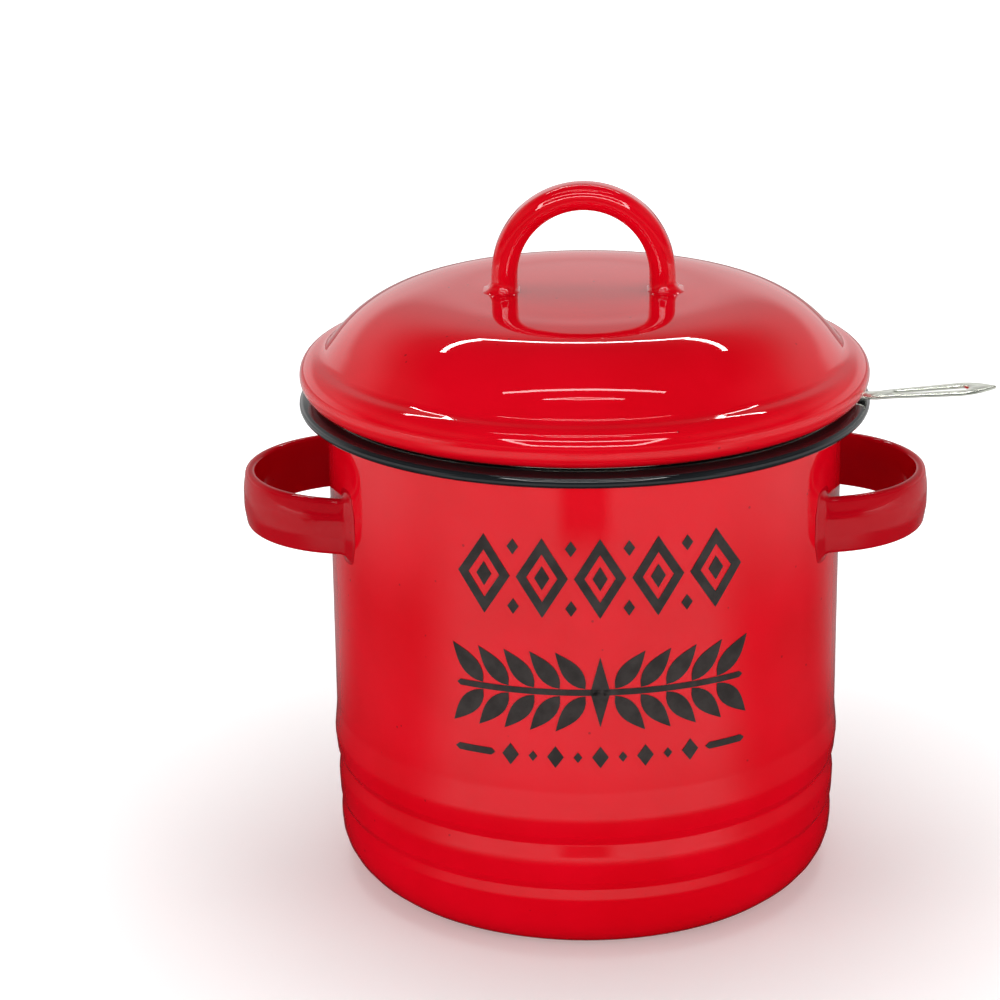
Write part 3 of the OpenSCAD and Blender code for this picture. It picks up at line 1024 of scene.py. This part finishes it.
def hang_lamp(name, start, end, width, radiance, mirrored_only=True):
    """A lamp between two points that faces the pot and shows in its gloss or lights it."""
    start, end = Vector(start), Vector(end)
    middle, run = (start + end) / 2, end - start
    side = run.normalized()
    towards = POT_MIDDLE - middle
    back = -(towards - side * towards.dot(side)).normalized()
    lamp = bpy.data.lights.new(name, "AREA")
    lamp.shape = "RECTANGLE"
    lamp.size, lamp.size_y = run.length, width
    lamp.energy = radiance * math.pi * run.length * width
    holder = bpy.data.objects.new(name, lamp)
    turn = Matrix((side, back.cross(side), back)).transposed().to_4x4()
    holder.matrix_world = Matrix.Translation(middle) @ turn
    holder.visible_camera = False
    holder.visible_diffuse = not mirrored_only
    holder.visible_glossy = mirrored_only
    bpy.context.scene.collection.objects.link(holder)


class POT_OT_studio(bpy.types.Operator):
    """Lay the floor, hang the lamps, light the surroundings and set the camera"""
    bl_idname = "pot.studio"
    bl_label = "Studio"

    def execute(self, context):
        self.lay_floor()
        self.light_surroundings(context)
        for side, hand in ((-1, "left"), (1, "right")):
            for name, start, end, *light in PAIRED_LAMPS:
                start, end = ((side * x, y, z) for x, y, z in (start, end))
                hang_lamp(f"{name}_{hand}", start, end, *light)
        for name, (x, y, z), *light in MIDDLE_LAMPS:
            hang_lamp(name, (-x, y, z), (x, y, z), *light)
        self.set_camera(context)
        context.scene.view_settings.view_transform = "Standard"
        return {"FINISHED"}

    def lay_floor(self):
        clear_selection()
        bpy.ops.mesh.primitive_circle_add(vertices=96, radius=FLOOR_RADIUS, fill_type="NGON",
                                          location=ORIGIN)
        floor = name_active("floor")
        skin = new_finish("pale_floor")
        seen, mirrored = skin.rays()
        x, y, reach = skin.level(skin.place(), 0.0001)
        aside = x.math("ABSOLUTE") / reach
        # Mirror rays from the wall land near the pot, those from bowl and skirt further out
        bowl_zone, skirt_zone = (0.335, 0.355), (0.435, 0.45)
        # Painted shade and reflection, for mirror rays only: the floor goes dark near the pot, in a
        # band to each side, behind, and in a ring that the wall shows below its rim
        sideways = aside.between(0.72, 0.97) * (1 - reach.between(0.23, 0.34))
        near = reach.between(0.10, 0.19)
        behind = (y / reach).between(-0.1, 0.6)
        under_rim = reach.between(0.28, 0.31) * (1 - aside.between(0.10, 0.24))
        low = near * (1 - sideways * 0.85) * (1 - behind * 0.6) * (1 - under_rim * 0.85)
        pale, dark = tone_of("floor"), (0.012, 0.02, 0.024)
        painted_shade_near_pot = skin.blend(1 - low, pale, dark)
        # Painted reflection: the floor far out in front is dark for mirror rays, so the skirt shows
        # it
        ahead = (1 - aside.between(0.70, 0.86)) * (1 - behind)
        painted_dark_ahead = skin.blend(ahead * 0.95, pale, dark)
        # Soft upright bands, a painted reflection of a room for polished steel to show, seen
        # between the two
        wave = skin.noise(11, 2, 0.5, distortion=1.0) - 0.5
        slate, haze, umber = (0.05, 0.08, 0.09), (0.30, 0.42, 0.48), (0.42, 0.40, 0.34)
        dusk, night, bone = (0.12, 0.17, 0.20), (0.10, 0.14, 0.17), (0.5, 0.5, 0.47)
        bands = skin.add("ShaderNodeValToRGB", {"stops": (
            (0, pale), (0.07, pale), (0.11, umber), (0.15, slate), (0.27, slate), (0.31, haze),
            (0.48, haze), (0.54, dusk), (0.73, night), (0.78, slate), (0.85, umber),
            (0.92, bone), (0.96, pale), (1, pale))},
            {"Fac": x / reach * 0.5 + 0.5 + wave * 0.16})
        lower = 1 - (reach + wave * 0.05).between(0.362, 0.374)
        band_tone = skin.blend(lower.math("MAXIMUM", behind), bands, (0.82, 0.82, 0.80))
        high_tone = skin.blend(reach.between(*skirt_zone), band_tone, painted_dark_ahead)
        mirror_tone = skin.blend(reach.between(*bowl_zone), painted_shade_near_pot, high_tone)
        # Camera rays see the plain pale floor, mirror rays the painted shade and reflections
        tone = skin.blend(mirrored, pale, mirror_tone)
        matte = skin.add("ShaderNodeBsdfDiffuse", None, {"Color": tone})
        lift = 0.2 + reach.between(0.07, 0.24) * 0.45 + reach.between(0.3, 0.9) * 0.4
        glow = skin.add("ShaderNodeEmission", None, {"Color": (1, 1, 1), "Strength": seen * lift})
        skin.add_output(skin.add("ShaderNodeAddShader", None, {0: matte, 1: glow}))
        floor.data.materials.append(skin.owner)

    def light_surroundings(self, context):
        world = bpy.data.worlds.new("studio")
        context.scene.world = world
        sky = Finish(world)
        seen, mirrored = sky.rays()
        towards = sky.add("ShaderNodeTexCoord", output="Generated")
        x, y, level = sky.level(towards, 0.0001)
        z = sky.axis(towards, "Z")
        behind = ((y / level).between(0.0, 0.6) * (1 - z.between(0.20, 0.32) * 0.5)
                  * (1 - z.between(0.42, 0.74)))
        beside = ((1 - (y * -1 / level).between(0.5, 0.85)) * z.between(0.2, 0.5)
                  * (1 - z.between(0.55, 0.8)))
        horizon = z.between(-0.06, 0.0) * (1 - z.between(0.06, 0.14)) * (1 - behind)
        gloss = 0.03 + behind.math("MAXIMUM", beside * 0.16) * 0.90 + horizon * 0.2
        soft = 0.22 + (1 - z.between(0.05, 0.75)) * 0.42
        strength = seen + (1 - seen) * (mirrored * gloss + (1 - mirrored) * soft)
        sky.add_output(sky.add("ShaderNodeBackground", None,
                               {"Color": (1, 1, 1), "Strength": strength}))

    def set_camera(self, context):
        pitch, pan, roll = (math.radians(degrees) for degrees in CAMERA_TURN)
        forward = Vector((math.sin(pan) * math.cos(pitch), math.cos(pan) * math.cos(pitch),
                          -math.sin(pitch)))
        level = Vector((math.cos(pan), -math.sin(pan), 0))
        up = level.cross(forward)
        right = level * math.cos(roll) + up * math.sin(roll)
        lens = bpy.data.cameras.new("camera")
        lens.sensor_width = CAMERA_SENSOR
        lens.lens = CAMERA_LENS
        lens.clip_start = 0.01
        camera = bpy.data.objects.new("camera", lens)
        turn = Matrix((right, right.cross(-forward) * -1, -forward)).transposed().to_4x4()
        camera.matrix_world = Matrix.Translation(CAMERA_PLACE) @ turn
        context.scene.collection.objects.link(camera)
        context.scene.camera = camera


# -------- panel and registration

STEPS = (POT_OT_shell, POT_OT_ears, POT_OT_print, POT_OT_bowl, POT_OT_screen, POT_OT_blade,
         POT_OT_lid, POT_OT_skirt, POT_OT_lid_handle, POT_OT_studio)
GROUPS = {"pot_sizes": PotSizes, "pot_strainer": StrainerSizes, "pot_lid": LidSizes,
          "pot_print": PrintSizes, "pot_finishes": Finishes}


class POT_PT_panel(bpy.types.Panel):
    """Sizes, colours and build steps of the pot"""
    bl_idname = "POT_PT_panel"
    bl_label = "Enamelled pot"
    bl_space_type = "VIEW_3D"
    bl_region_type = "UI"
    bl_category = "Pot"

    def draw(self, context):
        for name, group in GROUPS.items():
            box = self.layout.box()
            values = getattr(context.scene, name)
            for field in group.__annotations__:
                box.prop(values, field)
        for step in STEPS:
            self.layout.operator(step.bl_idname)


def register():
    for group in (*GROUPS.values(), *STEPS, POT_PT_panel):
        bpy.utils.register_class(group)
    for name, group in GROUPS.items():
        setattr(bpy.types.Scene, name, PointerProperty(type=group))


def unregister():
    for name in GROUPS:
        delattr(bpy.types.Scene, name)
    for group in (POT_PT_panel, *reversed(STEPS), *reversed(GROUPS.values())):
        bpy.utils.unregister_class(group)


def main():
    register()
    for step in STEPS:
        folder, name = step.bl_idname.split(".")
        getattr(getattr(bpy.ops, folder), name)()
    leave_edit_mode()


if __name__ == "__main__":
    main()
